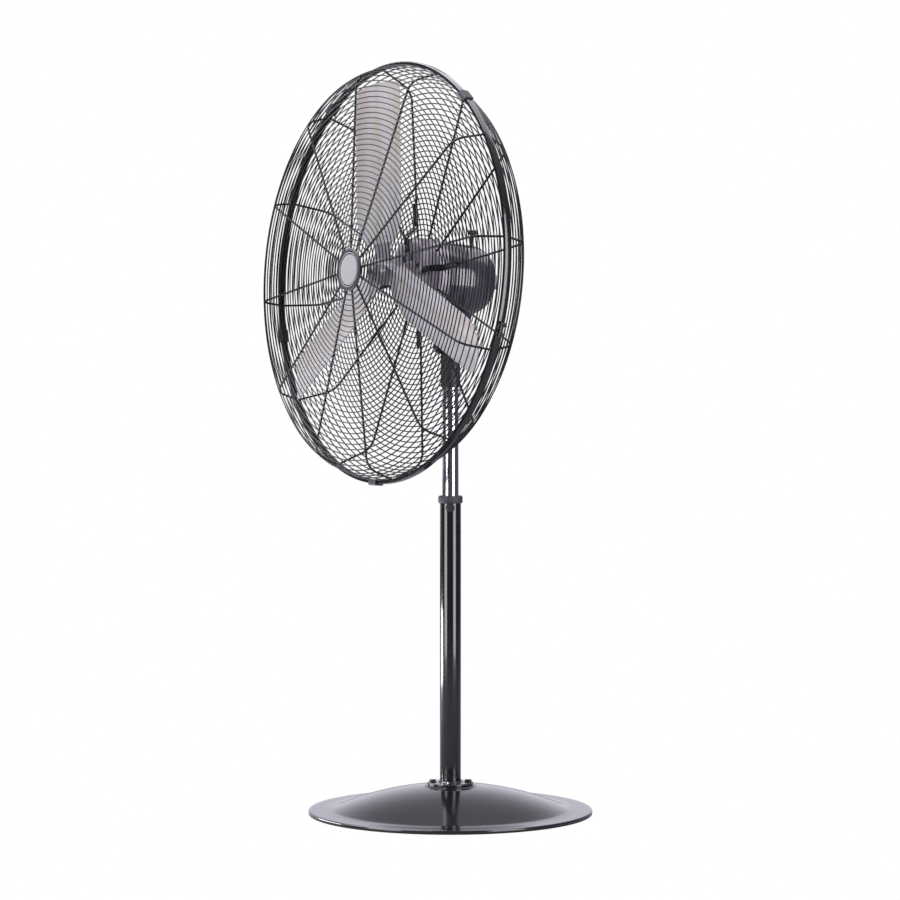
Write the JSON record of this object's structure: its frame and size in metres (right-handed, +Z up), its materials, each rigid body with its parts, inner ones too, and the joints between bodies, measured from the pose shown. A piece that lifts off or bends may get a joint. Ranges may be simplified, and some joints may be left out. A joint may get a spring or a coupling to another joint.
{
  "type": "pedestal fan",
  "caption": "Floor-standing pedestal fan: round base, telescopic pole, tilting neck and an oscillating motor head with a wire guard and pitched metal blades.",
  "frame": {"origin": "on the floor under the pole's axis, at the centre of the base's underside", "axes": "+Z up along the pole; the fan blows towards -Y with the head straight ahead; +X is to the right seen from the front"},
  "size_m": [0.83, 0.568, 1.492],
  "materials": {
    "black_enamel": "gloss enamel",
    "black_wire": "black powder coat",
    "chrome": "polished chrome",
    "zinc_steel": "zinc plate",
    "bare_steel": "ground",
    "cast_grey": "grey satin enamel on a casting",
    "motor_enamel": "dark blue-black gloss enamel",
    "black_plastic": "moulded satin",
    "collar_plastic": "moulded matte",
    "grey_plastic": "moulded satin",
    "blade_aluminium": "rolled sheet",
    "laminated_steel": "stacked laminations",
    "winding_copper": "varnished copper wire"
  },
  "bodies": {
    "stand": {"base_plate": "black_enamel", "pole_flange": "black_enamel", "flange_bolt_1": "zinc_steel", "flange_bolt_2": "zinc_steel", "flange_bolt_3": "zinc_steel", "flange_bolt_4": "zinc_steel", "outer_pole": "black_enamel", "pole_collar": "collar_plastic", "pole_bush": "black_plastic"},
    "height_screw": {"height_screw": "zinc_steel"},
    "mast": {"inner_tube": "chrome", "tube_foot": "black_plastic", "neck_socket": "black_plastic", "socket_screw": "zinc_steel", "tilt_bolt": "zinc_steel"},
    "tilt_knob": {"tilt_knob": "black_plastic"},
    "neck": {"tilt_bracket": "black_plastic", "swivel_pin": "bare_steel"},
    "crank_link": {"crank_link": "zinc_steel"},
    "head": {"swivel_housing": "motor_enamel", "gearbox": "cast_grey", "rear_bearing": "bare_steel", "motor_rear_cover": "motor_enamel", "motor_front_bell": "cast_grey", "front_bearing": "bare_steel", "stator_core": "laminated_steel", "front_winding": "winding_copper", "rear_winding": "winding_copper", "capacitor": "grey_plastic", "speed_switch": "black_plastic", "cable_gland": "black_plastic", "rear_guard": "black_wire", "front_guard": "black_wire", "guard_band": "black_enamel", "band_screw": "zinc_steel", "band_nut": "zinc_steel", "guard_clip_1": "black_plastic", "guard_clip_2": "black_plastic", "guard_clip_3": "black_plastic", "guard_clip_4": "black_plastic", "guard_arm_1": "black_enamel", "guard_arm_2": "black_enamel", "guard_arm_3": "black_enamel", "guard_arm_4": "black_enamel", "arm_bolt_1": "zinc_steel", "arm_bolt_2": "zinc_steel", "arm_bolt_3": "zinc_steel", "arm_bolt_4": "zinc_steel", "badge_ring": "black_plastic", "badge_disc": "grey_plastic"},
    "crank_arm": {"crank_arm": "zinc_steel"},
    "oscillation_knob": {"oscillation_knob": "black_plastic"},
    "speed_knob": {"speed_knob": "black_plastic"},
    "rotor": {"motor_shaft": "bare_steel", "rotor_core": "laminated_steel", "blade_spider": "zinc_steel", "spider_nut": "zinc_steel", "blade_1": "blade_aluminium", "blade_2": "blade_aluminium", "blade_3": "blade_aluminium"}
  },
  "joints": [
    {"name": "height_slide", "type": "slide", "parent": "stand", "child": "mast", "axis": [0, 0, 1], "range_m": [-0.2, 0.1]},
    {"name": "height_screw_turn", "type": "hinge", "parent": "stand", "child": "height_screw", "pos_m": [0, 0, 0.612], "axis": [0.829, -0.5592, 0], "range_deg": [0, 360]},
    {"name": "head_tilt", "type": "hinge", "parent": "mast", "child": "neck", "pos_m": [0, 0, 0.935], "axis": [1, 0, 0], "range_deg": [-26, 15]},
    {"name": "tilt_knob_turn", "type": "hinge", "parent": "mast", "child": "tilt_knob", "pos_m": [-0.03, 0, 0.935], "axis": [-1, 0, 0], "range_deg": [0, 360]},
    {"name": "oscillation", "type": "hinge", "parent": "neck", "child": "head", "pos_m": [0, 0, 0.935], "axis": [0, 0.0558, 0.9984], "range_deg": [-40, 40]},
    {"name": "crank_turn", "type": "hinge", "parent": "head", "child": "crank_arm", "pos_m": [0, 0.04149, 0.96954], "axis": [0, 0.0558, 0.9984], "range_deg": [-40.5, 40.5]},
    {"name": "link_swing", "type": "hinge", "parent": "neck", "child": "crank_link", "pos_m": [0.024, 0.00181, 0.96735], "axis": [0, 0.0558, 0.9984], "range_deg": [-40.5, 40.5]},
    {"name": "oscillation_knob_press", "type": "slide", "parent": "head", "child": "oscillation_knob", "axis": [0, 0.0558, 0.9984], "range_m": [-0.01, 0]},
    {"name": "speed_knob_turn", "type": "hinge", "parent": "head", "child": "speed_knob", "pos_m": [0, 0.08385, 1.06432], "axis": [0, 0.9984, -0.0558], "range_deg": [0, 135]},
    {"name": "blade_spin", "type": "hinge", "parent": "head", "child": "rotor", "pos_m": [0, -0.09237, 1.07417], "axis": [0, -0.9984, 0.0558], "continuous": true}
  ],
  "couplings": [
    {"joint": "crank_turn", "follows": "oscillation", "ratio": -1},
    {"joint": "link_swing", "follows": "oscillation", "ratio": 1}
  ]
}
